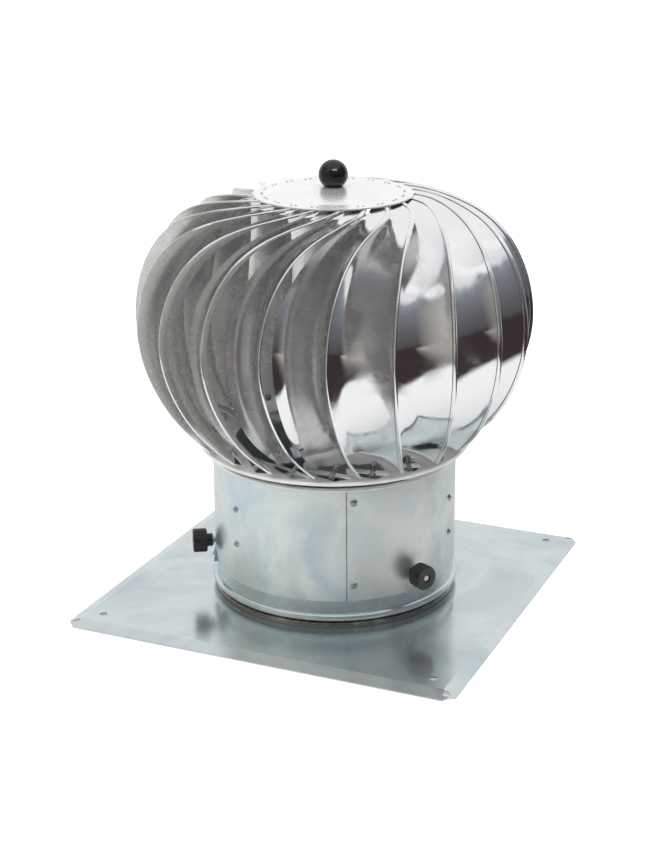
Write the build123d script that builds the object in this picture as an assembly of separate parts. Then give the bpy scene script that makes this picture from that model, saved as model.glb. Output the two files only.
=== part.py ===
from build123d import *
import math
import os

# Roof turbine ventilator for a 200 mm round duct: a square roof plate with a short collar,
# a neck sleeve clamped on the collar by three knobs, and a vaned rotor that spins on it.
# Millimetres, +Z up. The origin is at the centre of the underside of the roof plate.
# Azimuths are in degrees, counter-clockwise from -Y seen from above.

# ---------------------------------------------------------------- driving dimensions
neck_radius = 100.0        # outside of the neck sleeve
sheet = 0.7                # galvanised sheet of the neck and collar
blade_sheet = 0.6          # aluminium sheet of the blades

plate_side = 330.0
plate_sheet = 0.85
plate_flange_run = 10.3    # plan width of the edge that is bent down
plate_flange_drop = 3.75
plate_top = plate_flange_drop + plate_sheet
plate_edge_sheet = 0.8     # the upright edge at the foot of the flange
plate_corner_cut = 8.0
plate_relief_radius = 3.0  # the round notch that lets each corner fold
plate_relief_inset = 7.2
roof_hole_spacing = 284.0
roof_hole_radius = 3.0

sleeve_bottom = plate_top + 22.8
sleeve_top = plate_top + 119.0
rim_wire = 1.7             # radius of the rolled rim at the top of the sleeve
seam_azimuth = 29.0
seam_lap = 11.0            # degrees
seam_rivet_offset = 3.0    # degrees past the seam's step
seam_rivet_seat = 0.62     # how far the lap stands proud of the sleeve there
seam_rivet_heights = (plate_top + 36.0, plate_top + 106.0)

collar_radius = neck_radius - sheet - 0.4
collar_top = plate_top + 46.0
collar_ridge = (plate_top + 2.6, 1.5, 2.2)   # height, half width and depth
collar_bead = (plate_top + 8.7, 3.1, 3.5)
collar_flange = 6.0        # it grips the plate from below
collar_screw_hole = 3.0
neck_cut = (90.0, 110.0)   # a hole through the neck's wall is cut between these radii

clamp_azimuths = (61.2, 181.2, 301.2)
clamp_height = plate_top + 39.5
clamp_slot_half = 2.9
clamp_mouth_half = 6.8
clamp_flare = 2.9
flap_drop = 5.6            # the flared flaps start this far under the screw
nut_side = 8.0
nut_depth = 5.0
screw_radius = 2.5
screw_bore = 2.55
screw_tip = 88.0
screw_recess = 0.6         # the screw ends this far inside the knob's face
screw_chamfer = 0.5
washer_radius = 4.5
washer_thickness = 0.9
knob_inner = neck_radius + 2.7
knob_hub_radius = 5.45
knob_hub_length = 4.5
knob_radius = 9.9
knob_length = 11.7
knob_chamfer = 1.0
knob_flutes = 16
knob_flute_radius = 1.0
knob_flute_offset = 0.35   # a flute's centre stands this far outside the grip
knob_dish_radius = 3.6
knob_dish_depth = 0.8

arm_azimuths = (331.5, 91.5, 211.5)
arm_width = 20.0
arm_thickness = 2.0
arm_foot_thickness = 3.0
arm_bend = 9.0             # outer radius of the bend from the arm to its foot
arm_hub_radius = 26.0
arm_height = plate_top + 100.0
arm_foot_bottom = plate_top + 48.5
arm_rivet_heights = (plate_top + 56.0, plate_top + 86.0)

ring_plane = plate_top + 126.0
ring_outer = 108.8
ring_inner = 81.0
ring_sheet = 0.8
ring_wire = 1.6            # radius of the rolled rim of the rotor ring
disc_underside = plate_top + 327.4
disc_radius = 63.0
disc_sheet = 1.0
disc_plane = disc_underside + disc_sheet
disc_flat_inner = 47.0
disc_dome_rise = 5.0
disc_boss_radius = 13.0
stud_radius = 3.0
stud_hole_radius = 3.1

blade_count = 20
blade_pitch = 360.0 / blade_count
first_blade_azimuth = 24.6
rotor_arm_blades = (5, 10, 15, 20)
rotor_arm_hub = 24.0
rotor_arm_width = 15.0
rotor_arm_sheet = 2.0
rotor_arm_height = plate_top + 138.0
rotor_arm_reach = 82.0
arm_ear_spot = (0.11, 0.06)    # share of the way up and across the blade's outer face
arm_ear_width = 10.0
arm_ear_height = 12.0
arm_ear_shift = 2.4
arm_ear_gap = 0.4
arm_rivet_head = 1.0
arm_rivet_tail = (2.2, 0.9)    # radius and thickness of the set end

ball_radius = 11.65
ball_base_radius = 7.0
stud_length = 9.0          # how deep the hub cap's stud runs into the ball

axle_radius = 4.0
axle_below = 16.0          # what stands out below the spider
axle_above = 12.0          # what stands out above the upper bearing
axle_chamfer = 0.6
axle_shoulder_radius = 6.0
axle_shoulder_gap = 3.5    # from a bearing's middle down to its shoulder
axle_shoulder_length = 5.0
nut_flats = 13.0
nut_height = 6.5
clip_radius = 5.8          # the ring that holds the upper bearing
clip_thickness = 1.2
hub_outer = 13.5
hub_bore = 11.0
hub_overhang = 3.0         # the tube ends this far under the rotor arms
hub_top_gap = 8.0          # and this far under the disc
cap_plug_depth = 18.0
cap_flange_thickness = 2.5
bearing_width = 7.0
bearing_heights = (plate_top + 152.0, plate_top + 296.0)
bearing_ball_radius = 1.985
bearing_pitch_radius = 7.5
bearing_balls = 7
bearing_clearance = 0.1
inner_race_radius = 6.2
outer_race_bore = 8.8

rivet_head_radius = 3.0
rivet_head_height = 1.5
rivet_tail_radius = 2.3
rivet_tail_length = 3.6
rivet_shank_radius = 1.6
rivet_hole_radius = 1.65


# ---------------------------------------------------------------- helpers
def polar(radius, azimuth, height):
    turn = math.radians(azimuth)
    return Vector(radius * math.sin(turn), -radius * math.cos(turn), height)


def about(azimuth, shape):
    """Turn a shape that was built at azimuth 0 to its own azimuth."""
    return Rot(0, 0, azimuth) * shape


def ring(outer, inner, low, high):
    """A plain tube or washer on the Z axis."""
    tube = Cylinder(outer, high - low, align=(Align.CENTER, Align.CENTER, Align.MIN))
    bore = Cylinder(inner, high - low, align=(Align.CENTER, Align.CENTER, Align.MIN))
    return Pos(0, 0, low) * (tube - bore)


def rod(radius, low, high):
    return Pos(0, 0, low) * Cylinder(radius, high - low, align=(Align.CENTER, Align.CENTER, Align.MIN))


def radial_rod(radius, near, far, height):
    """A round bar along -Y, from one distance off the axis to another."""
    bar = Cylinder(radius, far - near, align=(Align.CENTER, Align.CENTER, Align.MIN))
    return Pos(0, -near, height) * Rot(90, 0, 0) * bar


def turned(points):
    """Revolve a closed profile of (radius, height) points about the Z axis."""
    outline = Polyline(*[(x, 0, z) for x, z in points], close=True)
    return revolve(make_face(outline), Axis.Z)


def flush_rivet(outside, inside, height):
    """A domed rivet along -Y whose inner end is level with the inside of the sheet."""
    dome = (rivet_head_radius ** 2 + rivet_head_height ** 2) / (2 * rivet_head_height)
    head = Pos(0, -(outside + rivet_head_height - dome), height) * Sphere(dome)
    head &= radial_rod(rivet_head_radius, outside, outside + rivet_head_height, height)
    return head + radial_rod(rivet_shank_radius, inside, outside + 0.2, height)


def blind_rivet(outside, inside, height):
    """A domed rivet along -Y with its bulged tail on the inside."""
    tail = radial_rod(rivet_tail_radius, inside - rivet_tail_length, inside, height)
    return flush_rivet(outside, inside - 1.0, height) + tail


# ---------------------------------------------------------------- roof plate and collar
def make_base_plate():
    flat = plate_side - 2 * plate_flange_run
    drop = plate_flange_drop
    top_face = Pos(0, 0, plate_top) * Rectangle(flat, flat)
    skirt_face = Pos(0, 0, plate_top - drop) * Rectangle(plate_side, plate_side)
    outer = loft([top_face, skirt_face])
    plate = outer - Pos(0, 0, -plate_sheet) * outer
    skirt_edge = Pos(0, 0, plate_sheet / 2) * Box(plate_side, plate_side, plate_sheet)
    inside = plate_side - 2 * plate_edge_sheet
    inner_edge = Pos(0, 0, plate_sheet / 2) * Box(inside, inside, plate_sheet)
    plate += skirt_edge - inner_edge
    plate -= rod(collar_radius + 0.05, 0, plate_top + 1)
    reach = roof_hole_spacing / 2
    for x in (-reach, reach):
        for y in (-reach, reach):
            plate -= Pos(x, y, 0) * Cylinder(roof_hole_radius, 3 * plate_top)
    corner = plate_side / 2
    middle = corner - plate_corner_cut / 2
    notch = corner - plate_relief_inset
    waste = Pos(plate_corner_cut, 0, 0) * Box(2 * plate_corner_cut, plate_side / 5, 3 * plate_top)
    cut = Pos(middle, middle, 0) * Rot(0, 0, 45) * waste
    cut += Pos(notch, notch, 0) * Cylinder(plate_relief_radius, 3 * plate_top)
    for quarter in range(4):
        plate -= Rot(0, 0, 90 * quarter) * cut
    return plate


def bulge(radius, height, half, depth):
    return ThreePointArc((radius, 0, height - half), (radius + depth, 0, height), (radius, 0, height + half))


def make_base_collar():
    """Drawn sheet: a flange under the plate, a lock ridge and a bead above it."""
    foot = plate_top - plate_sheet

    def path(radius):
        edges = []
        low = foot
        for height, half, depth in (collar_ridge, collar_bead):
            edges.append(Line((radius, 0, low), (radius, 0, height - half)))
            edges.append(bulge(radius, height, half, depth))
            low = height + half
        edges.append(Line((radius, 0, low), (radius, 0, collar_top)))
        return edges

    outer = path(collar_radius)
    inner = path(collar_radius - sheet)
    ends = [Line((collar_radius - sheet, 0, z), (collar_radius, 0, z)) for z in (foot, collar_top)]
    wall = revolve(make_face(Wire(outer + inner + ends)), Axis.Z)
    flange = ring(collar_radius + collar_flange, collar_radius - sheet, foot - sheet, foot)
    collar = wall + flange
    for azimuth in clamp_azimuths:
        collar -= about(azimuth, radial_rod(collar_screw_hole, *neck_cut, clamp_height))
    return collar


def make_clamp_nuts():
    """Square weld nuts inside the collar that the clamp screws run in."""
    nuts = []
    for azimuth in clamp_azimuths:
        block = Pos(0, -(collar_radius - 3.0), clamp_height) * Box(nut_side, nut_depth, nut_side)
        block = fillet(block.edges().filter_by(Axis.Y), nut_side / 10)
        block &= rod(collar_radius - sheet, 0, collar_top)
        block -= radial_rod(screw_bore, screw_tip, neck_cut[1], clamp_height)
        nuts.append(about(azimuth, block))
    return Compound(children=nuts)


# ---------------------------------------------------------------- clamp screws and knobs
def make_clamp_screw():
    face = knob_inner + knob_hub_length + knob_length
    screw = radial_rod(screw_radius, screw_tip, face - screw_recess, clamp_height)
    return chamfer(screw.edges(), screw_chamfer)


def make_clamp_washer():
    washer = radial_rod(washer_radius, knob_inner - washer_thickness, knob_inner, clamp_height)
    return washer - radial_rod(screw_radius + 0.1, *neck_cut, clamp_height)


def make_clamp_knob():
    """Moulded knob: fluted grip, plain hub, the screw moulded through it."""
    grip_start = knob_inner + knob_hub_length
    face = grip_start + knob_length
    grip = radial_rod(knob_radius, grip_start, face, clamp_height)
    grip = chamfer(grip.edges(), knob_chamfer)
    for flute in range(knob_flutes):
        rim = clamp_height + knob_radius + knob_flute_offset
        groove = radial_rod(knob_flute_radius, grip_start - 1, face + 1, rim)
        pivot = Pos(0, 0, clamp_height) * Rot(0, 360.0 * flute / knob_flutes, 0) * Pos(0, 0, -clamp_height)
        grip -= pivot * groove
    grip -= radial_rod(knob_dish_radius, face - knob_dish_depth, face + 1, clamp_height)
    hub = radial_rod(knob_hub_radius, knob_inner, grip_start + 1, clamp_height)
    knob = grip + hub
    return knob - radial_rod(screw_radius, screw_tip, face + 1, clamp_height)


# ---------------------------------------------------------------- neck sleeve
def flap_triangle(side):
    """One flared flap beside a slot: hinge down the slot's slanted edge, free corner out."""
    top = clamp_height - flap_drop
    wall = neck_radius - sheet / 2
    apex = Vector(side * clamp_slot_half, -wall, top)
    hinge = Vector(side * clamp_mouth_half, -wall + 0.12, sleeve_bottom)
    corner = Vector(side * (clamp_mouth_half + 0.3), -wall - clamp_flare, sleeve_bottom)
    face = make_face(Polyline(apex, hinge, corner, close=True))
    return extrude(face, amount=sheet / 2, both=True)


def make_neck_sleeve():
    tube = ring(neck_radius, neck_radius - sheet, sleeve_bottom, sleeve_top - rim_wire)
    rim = Pos(0, 0, sleeve_top - rim_wire) * Torus(neck_radius + rim_wire - 0.3, rim_wire)
    sleeve = tube + rim
    lap_height = sleeve_top - 2 * rim_wire - sleeve_bottom
    start = polar(neck_radius - 0.2, seam_azimuth, sleeve_bottom)
    step = polar(neck_radius + sheet, seam_azimuth, sleeve_bottom)
    middle = polar(neck_radius + 0.4 * sheet, seam_azimuth + seam_lap / 2, sleeve_bottom)
    under = polar(neck_radius - 0.2, seam_azimuth + seam_lap / 2, sleeve_bottom)
    end = polar(neck_radius - 0.2, seam_azimuth + seam_lap, sleeve_bottom)
    lap = [Line(start, step), ThreePointArc(step, middle, end), ThreePointArc(end, under, start)]
    sleeve += extrude(make_face(Wire(lap)), amount=lap_height, dir=(0, 0, 1))
    slot_top = clamp_height - flap_drop
    outline = [
        (-clamp_slot_half, clamp_height),
        (-clamp_slot_half, slot_top),
        (-clamp_mouth_half, sleeve_bottom - 0.01),
        (clamp_mouth_half, sleeve_bottom - 0.01),
        (clamp_slot_half, slot_top),
        (clamp_slot_half, clamp_height),
    ]
    near, far = neck_cut
    slot_face = make_face(Polyline(*[(x, -near, z) for x, z in outline], close=True))
    slot = extrude(slot_face, amount=far - near, dir=(0, -1, 0))
    slot += radial_rod(clamp_slot_half, near, far, clamp_height)
    for azimuth in clamp_azimuths:
        sleeve -= about(azimuth, slot)
        sleeve += about(azimuth, flap_triangle(-1))
        sleeve += about(azimuth, flap_triangle(1))
    for height in seam_rivet_heights:
        sleeve -= about(seam_azimuth + seam_rivet_offset, radial_rod(rivet_hole_radius, *neck_cut, height))
    for azimuth in arm_azimuths:
        for height in arm_rivet_heights:
            sleeve -= about(azimuth, radial_rod(rivet_hole_radius, *neck_cut, height))
    return sleeve


def make_seam_rivets():
    """Flush inside, so that the sleeve still slides over the collar."""
    seat = neck_radius + seam_rivet_seat
    rivets = []
    for height in seam_rivet_heights:
        rivets.append(about(seam_azimuth + seam_rivet_offset, flush_rivet(seat, neck_radius - sheet, height)))
    return Compound(children=rivets)


# ---------------------------------------------------------------- fixed spider and axle
def make_neck_spider():
    """Three flat bars bent down against the inside of the sleeve, joined by a hub plate."""
    half = arm_width / 2
    reach = neck_radius - sheet + 1.0      # the sleeve's curve trims it below
    inside = reach - arm_foot_thickness
    bend_start = reach - arm_bend
    bend_end = arm_height - arm_bend
    low = arm_height - arm_thickness
    start = axle_radius * 2

    def spot(radius, height):
        return (-half, -radius, height)

    def rounded(radius, height, run, drop):
        """A quarter bend down from (radius - run, height) to (radius, height - drop)."""
        share = 1 - math.sqrt(0.5)
        middle = spot(radius - run * share, height - drop * share)
        return ThreePointArc(spot(radius - run, height), middle, spot(radius, height - drop))

    outline = [
        Line(spot(start, arm_height), spot(bend_start, arm_height)),
        rounded(reach, arm_height, arm_bend, arm_bend),
        Line(spot(reach, bend_end), spot(reach, arm_foot_bottom)),
        Line(spot(reach, arm_foot_bottom), spot(inside, arm_foot_bottom)),
        Line(spot(inside, arm_foot_bottom), spot(inside, bend_end)),
        rounded(inside, low, arm_bend - arm_foot_thickness, arm_bend - arm_thickness),
        Line(spot(bend_start, low), spot(start, low)),
        Line(spot(start, low), spot(start, arm_height)),
    ]
    strip = extrude(make_face(Wire(outline)), amount=arm_width, dir=(1, 0, 0))
    strip &= rod(neck_radius - sheet, 0, sleeve_top)
    for height in arm_rivet_heights:
        strip -= radial_rod(rivet_hole_radius, *neck_cut, height)
    spider = rod(arm_hub_radius, low, arm_height)
    for azimuth in arm_azimuths:
        spider += about(azimuth, strip)
    return spider - rod(axle_radius, 0, sleeve_top)


def make_spider_rivets():
    rivets = []
    for azimuth in arm_azimuths:
        for height in arm_rivet_heights:
            rivets.append(about(azimuth, blind_rivet(neck_radius, neck_radius - arm_foot_thickness, height)))
    return Compound(children=rivets)


def make_axle():
    axle = rod(axle_radius, arm_height - axle_below, bearing_heights[1] + axle_above)
    axle = chamfer(axle.edges(), axle_chamfer)
    for height in bearing_heights:
        seat = height - axle_shoulder_gap
        axle += ring(axle_shoulder_radius, axle_radius - 0.1, seat - axle_shoulder_length, seat)
    return axle


def hex_nut(low, high, flats, bore):
    face = RegularPolygon(flats / 2, 6, major_radius=False)
    nut = Pos(0, 0, low) * extrude(face, amount=high - low)
    return nut - rod(bore, low - 1, high + 1)


def make_axle_nuts():
    """Two nuts clamp the hub plate, and a clip holds the upper bearing."""
    low = arm_height - arm_thickness
    top = bearing_heights[1] + bearing_width / 2
    nuts = [hex_nut(low - nut_height, low, nut_flats, axle_radius)]
    nuts.append(hex_nut(arm_height, arm_height + nut_height, nut_flats, axle_radius))
    nuts.append(ring(clip_radius, axle_radius, top, top + clip_thickness))
    return Compound(children=nuts)


# ---------------------------------------------------------------- ball bearings
def race_groove(height):
    return Pos(0, 0, height) * Torus(bearing_pitch_radius, bearing_ball_radius + bearing_clearance)


def make_inner_race(height):
    race = ring(inner_race_radius, axle_radius, height - bearing_width / 2, height + bearing_width / 2)
    return race - race_groove(height)


def make_outer_race(height):
    race = ring(hub_bore, outer_race_bore, height - bearing_width / 2, height + bearing_width / 2)
    return race - race_groove(height)


def make_balls(height):
    balls = []
    for index in range(bearing_balls):
        centre = polar(bearing_pitch_radius, 360.0 * index / bearing_balls, height)
        balls.append(Pos(centre) * Sphere(bearing_ball_radius))
    return Compound(children=balls)


# ---------------------------------------------------------------- rotor blades
# Stations up one blade. Each gives (height, radius, azimuth) of the free outer edge and of
# the fold where the stiffening lip turns inwards, then the width of that lip, and the rise
# of the convex face as a share of its chord. Heights count from the top of the roof plate.
blade_stations = [
    ((131.0, 112.5, 27.3), (131.0, 93.0, 10.0), 0.6, 0.01),
    ((152.0, 132.0, 21.5), (154.0, 112.0, 5.6), 6.0, 0.08),
    ((190.0, 152.5, 17.0), (191.0, 127.5, 1.5), 7.5, 0.105),
    ((232.0, 159.5, 15.3), (233.0, 130.0, 0.0), 7.5, 0.105),
    ((272.0, 151.0, 16.8), (268.0, 119.5, 2.0), 7.0, 0.10),
    ((302.0, 131.5, 21.8), (296.0, 101.0, 9.5), 6.0, 0.09),
    ((318.6, 104.0, 33.0), (314.5, 81.0, 24.0), 3.5, 0.05),
    ((325.6, 77.0, 50.5), (324.4, 68.0, 39.5), 1.2, 0.02),
    ((326.8, 57.0, 62.0), (326.8, 53.0, 52.0), 0.6, 0.0),
]
lip_turn = 45.0            # degrees that the lip turns inwards at the fold
blade_shares = (0.04, 0.16, 0.36, 0.6, 0.82, 1.0)


def station_place(place):
    height, radius, azimuth = place
    return polar(radius, azimuth, plate_top + height)


def station_points(index):
    """Points across the blade at one station, from the lip's edge to the outer edge."""
    outer_place, fold_place, lip, bulge = blade_stations[index]
    outer = station_place(outer_place)
    fold = station_place(fold_place)
    below = blade_stations[max(index - 1, 0)]
    above = blade_stations[min(index + 1, len(blade_stations) - 1)]
    lower = station_place(below[0]) + station_place(below[1])
    upper = station_place(above[0]) + station_place(above[1])
    chord = outer - fold
    across = chord.normalized()
    outward = (upper - lower).cross(chord).normalized()
    turn = math.radians(lip_turn)
    lip_way = across * -math.cos(turn) - outward * math.sin(turn)
    points = [fold + lip_way * lip, fold + lip_way * (lip * 0.45)]
    for share in blade_shares:
        rise = 4 * bulge * chord.length * share * (1 - share)
        points.append(fold + chord * share + outward * rise)
    return points


def blade_outside():
    """The outer face of the first blade."""
    rows = [station_points(index) for index in range(len(blade_stations))]
    return Face.make_surface_from_array_of_points(rows, tol=0.15, max_deg=3)


def make_blade():
    return Solid.thicken(blade_outside(), blade_sheet) - blade_rivet_bar(rivet_hole_radius)


# ---------------------------------------------------------------- blade tabs and blind rivets
# The hinge line of the first blade's tab, as seen from above: it lies at right angles to the
# azimuth tab_azimuth, tab_offset from the axis, and lengths along it count from its foot.
tab_azimuth = -12.2
tab_offset = 80.2
tab_lean = 43.5            # degrees from vertical, outwards
tab_root = -0.9            # the tab starts inside the ring's sheet
tab_outline = [(19.0, tab_root), (59.3, tab_root), (51.3, 10.9), (37.0, 8.2), (34.5, 5.2), (21.8, 5.0)]
window_outline = [(19.0, 0), (59.3, 0), (51.3, 10.9), (21.8, 5.5)]
tab_rivet_place = (47.5, 8.4)
tab_rivet_seat = 1.0       # the tail starts this far outside the tab
tab_rivet_tail = 6.0       # length of the tail outside the blade
tab_rivet_tube = 1.9
tab_rivet_bulb = 2.7
tab_rivet_bore = 0.9


def on_hinge(shape):
    """Stand a shape drawn at the hinge line's foot, +X along the line, in its place."""
    return Rot(0, 0, tab_azimuth) * Pos(0, -tab_offset, ring_plane) * shape


def tab_face(outline):
    """A face in the plane of the tab, drawn as (length along the hinge, height up the tab)."""
    flat = make_face(Polyline(*[(x, y, 0) for x, y in outline], close=True))
    return Rot(90, 0, 0) * flat


def make_tab():
    leaning = Rot(tab_lean, 0, 0) * extrude(tab_face(tab_outline), amount=ring_sheet, dir=(0, 1, 0))
    return on_hinge(leaning)


def make_window():
    flat = make_face(Polyline(*[(x, -y, 0) for x, y in window_outline], close=True))
    return on_hinge(Pos(0, 0, -5) * extrude(flat, amount=10))


def rivet_frame(shape):
    """Put a shape on the tab's rivet: its origin at the tab's outer face, +Z outwards."""
    along, up = tab_rivet_place
    return on_hinge(Rot(tab_lean, 0, 0) * Pos(along, 0, up) * Rot(90, 0, 0) * shape)


def blade_rivet_bar(radius):
    return rivet_frame(rod(radius, -3, 5))


def make_blade_rivet():
    """A blind rivet set from inside the rotor, so that its bulb stands outside."""
    end = tab_rivet_seat + tab_rivet_tail
    head = rod(rivet_head_radius, -ring_sheet - 1.0, -ring_sheet)
    shank = rod(rivet_shank_radius, -ring_sheet - 0.5, end)
    tube = rod(tab_rivet_tube, tab_rivet_seat, tab_rivet_tail)
    bulb = Pos(0, 0, end - 1.6) * Sphere(tab_rivet_bulb)
    over = rod(2 * tab_rivet_bulb, end, end + 10)
    bore = rod(tab_rivet_bore, tab_rivet_seat + 2.0, end + 2.0)
    return rivet_frame(head + shank + tube + bulb - over - bore)


def make_blade_rivets():
    rivets = []
    rivet = make_blade_rivet()
    for index in range(blade_count):
        rivets.append(about(first_blade_azimuth + index * blade_pitch, rivet))
    return Compound(children=rivets)


# ---------------------------------------------------------------- rotor ring, disc and hub
def make_bottom_ring():
    low = ring_plane - ring_sheet
    plain = ring(ring_outer, ring_inner, low, ring_plane)
    plain += Pos(0, 0, ring_plane - ring_sheet) * Torus(ring_outer - 0.1, ring_wire)
    window = make_window()
    tab = make_tab() - blade_rivet_bar(rivet_hole_radius)
    for index in range(blade_count):
        azimuth = first_blade_azimuth + index * blade_pitch
        plain -= about(azimuth, window)
        plain += about(azimuth, tab)
    return plain


def make_top_disc():
    """A flat rim over the blade tips, and a shallow dome that carries the ball."""
    low = disc_underside
    top = disc_plane
    boss = disc_boss_radius
    rise = disc_dome_rise
    middle = (disc_flat_inner + boss) / 2
    upper = [
        Line((disc_radius, 0, top), (disc_flat_inner, 0, top)),
        ThreePointArc((disc_flat_inner, 0, top), (middle, 0, top + 0.6 * rise), (boss, 0, top + rise)),
        Line((boss, 0, top + rise), (stud_hole_radius, 0, top + rise)),
    ]
    lower = [
        Line((disc_radius, 0, low), (disc_flat_inner, 0, low)),
        ThreePointArc((disc_flat_inner, 0, low), (middle, 0, low + 0.6 * rise), (boss, 0, low + rise)),
        Line((boss, 0, low + rise), (stud_hole_radius, 0, low + rise)),
    ]
    ends = [Line((x, 0, low + z), (x, 0, top + z)) for x, z in ((disc_radius, 0), (stud_hole_radius, rise))]
    return revolve(make_face(Wire(upper + lower + ends)), Axis.Z)


def make_ball_knob():
    drop = math.sqrt(ball_radius ** 2 - ball_base_radius ** 2)
    base = disc_plane + disc_dome_rise
    ball = Pos(0, 0, base + drop) * Sphere(ball_radius)
    ball -= rod(2 * ball_radius, base - ball_radius, base)
    return ball - rod(stud_radius, base - 1, base + stud_length)


def lip_place():
    """A place on the inner side of the first blade's lip, with its own axes: +Z stands off
    the lip into the rotor, +X runs across it to its free edge, and +Y runs up it."""
    outside = blade_outside()
    spot = outside.position_at(*arm_ear_spot)
    inward = outside.normal_at(*arm_ear_spot)
    beside = outside.position_at(arm_ear_spot[0], arm_ear_spot[1] + 0.04)
    return Plane(origin=spot + inward * blade_sheet, x_dir=spot - beside, z_dir=inward)


def make_rotor_arms():
    """A flat cross on the hub tube. Each arm twists up into an ear beside a blade's lip."""
    low = rotor_arm_height - rotor_arm_sheet
    middle = low + rotor_arm_sheet / 2
    place = lip_place().location
    ear = place * Pos(arm_ear_shift, 0, arm_ear_gap + rotor_arm_sheet / 2)
    ear_low = ear * Pos(0, -arm_ear_height / 2, 0) * Rot(-90, 0, 0)
    azimuth = math.degrees(math.atan2(ear_low.position.X, -ear_low.position.Y))
    arm_end = Rot(0, 0, azimuth) * Pos(0, -rotor_arm_reach, middle) * Rot(90, 0, 180)
    twist = loft([arm_end * Rectangle(rotor_arm_width, rotor_arm_sheet),
                  ear_low * Rectangle(arm_ear_width, rotor_arm_sheet)], ruled=True)
    bar = Pos(0, -rotor_arm_reach / 2, middle) * Box(rotor_arm_width, rotor_arm_reach, rotor_arm_sheet)
    arm = about(azimuth, bar) + twist + ear * Box(arm_ear_width, arm_ear_height, rotor_arm_sheet)
    arm -= ear * Pos(-arm_ear_shift, 0, 0) * Cylinder(rivet_hole_radius, 6)
    cross = rod(rotor_arm_hub, low, rotor_arm_height)
    for number in rotor_arm_blades:
        cross += about(first_blade_azimuth + (number - 1) * blade_pitch, arm)
    return cross - rod(hub_outer, low - 1, rotor_arm_height + 1)


def arm_rivet_bar():
    return lip_place().location * Cylinder(rivet_hole_radius, 6)


def make_rotor_arm_rivets():
    """A rivet through each ear and the lip beside it."""
    inner = arm_ear_gap + rotor_arm_sheet
    tail_radius, tail = arm_rivet_tail
    shank = rod(rivet_shank_radius, -blade_sheet - tail, inner + arm_rivet_head - 0.1)
    head = rod(rivet_head_radius, inner, inner + arm_rivet_head)
    set_end = rod(tail_radius, -blade_sheet - 1.2, -blade_sheet - 1.2 + tail)
    rivet = lip_place().location * (shank + head + set_end)
    turns = [first_blade_azimuth + (number - 1) * blade_pitch for number in rotor_arm_blades]
    return Compound(children=[about(turn, rivet) for turn in turns])


def make_hub_tube():
    low = rotor_arm_height - rotor_arm_sheet - hub_overhang
    return ring(hub_outer, hub_bore, low, disc_plane - hub_top_gap)


def make_hub_cap():
    """Turned plug: it closes the hub tube, carries the disc and ends in the ball's stud."""
    under = disc_plane + disc_dome_rise - disc_sheet
    plug = rod(hub_bore, disc_plane - cap_plug_depth, under - 2.0)
    flange = rod(disc_boss_radius - 0.5, under - cap_flange_thickness, under)
    stud = rod(stud_radius, under, under + disc_sheet + stud_length)
    return plug + flange + stud


parts = {
    "base_plate": make_base_plate,
    "base_collar": make_base_collar,
    "clamp_nuts": make_clamp_nuts,
    "neck_sleeve": make_neck_sleeve,
    "seam_rivets": make_seam_rivets,
    "neck_spider": make_neck_spider,
    "spider_rivets": make_spider_rivets,
    "axle": make_axle,
    "axle_nuts": make_axle_nuts,
    "lower_inner_race": lambda: make_inner_race(bearing_heights[0]),
    "upper_inner_race": lambda: make_inner_race(bearing_heights[1]),
    "lower_outer_race": lambda: make_outer_race(bearing_heights[0]),
    "upper_outer_race": lambda: make_outer_race(bearing_heights[1]),
    "lower_balls": lambda: make_balls(bearing_heights[0]),
    "upper_balls": lambda: make_balls(bearing_heights[1]),
    "bottom_ring": make_bottom_ring,
    "blade_rivets": make_blade_rivets,
    "top_disc": make_top_disc,
    "ball_knob": make_ball_knob,
    "rotor_arms": make_rotor_arms,
    "rotor_arm_rivets": make_rotor_arm_rivets,
    "hub_tube": make_hub_tube,
    "hub_cap": make_hub_cap,
}

os.makedirs("parts", exist_ok=True)
for name, make in parts.items():
    export_step(make(), f"parts/{name}.step")
for number, azimuth in enumerate(clamp_azimuths, start=1):
    export_step(about(azimuth, make_clamp_screw()), f"parts/clamp_screw_{number}.step")
    export_step(about(azimuth, make_clamp_washer()), f"parts/clamp_washer_{number}.step")
    export_step(about(azimuth, make_clamp_knob()), f"parts/clamp_knob_{number}.step")
plain_blade = make_blade()
drilled_blade = plain_blade - arm_rivet_bar()
for number in range(1, blade_count + 1):
    blade = drilled_blade if number in rotor_arm_blades else plain_blade
    azimuth = first_blade_azimuth + (number - 1) * blade_pitch
    export_step(about(azimuth, blade), f"parts/blade_{number:02d}.step")
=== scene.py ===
import math

import bmesh
import bpy
import numpy
from mathutils import Matrix, Vector


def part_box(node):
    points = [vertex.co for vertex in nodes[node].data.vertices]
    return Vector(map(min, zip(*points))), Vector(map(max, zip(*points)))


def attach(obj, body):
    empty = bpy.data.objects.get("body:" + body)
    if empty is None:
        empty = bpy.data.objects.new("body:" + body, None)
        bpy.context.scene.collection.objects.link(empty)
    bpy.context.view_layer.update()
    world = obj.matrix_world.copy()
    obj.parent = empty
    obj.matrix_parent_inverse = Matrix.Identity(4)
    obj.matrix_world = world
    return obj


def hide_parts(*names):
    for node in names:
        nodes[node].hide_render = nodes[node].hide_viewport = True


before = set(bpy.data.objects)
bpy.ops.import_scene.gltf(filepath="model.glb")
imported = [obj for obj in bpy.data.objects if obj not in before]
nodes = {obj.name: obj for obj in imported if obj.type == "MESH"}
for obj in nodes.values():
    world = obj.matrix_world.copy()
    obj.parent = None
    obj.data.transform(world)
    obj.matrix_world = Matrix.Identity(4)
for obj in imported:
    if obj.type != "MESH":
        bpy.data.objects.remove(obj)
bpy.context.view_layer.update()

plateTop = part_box("base_plate")[1].z


# ---- working helpers
def pickOnly(*pieces):
    bpy.ops.object.select_all(action="DESELECT")
    for piece in pieces:
        piece.select_set(True)
    bpy.context.view_layer.objects.active = pieces[0]


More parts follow.
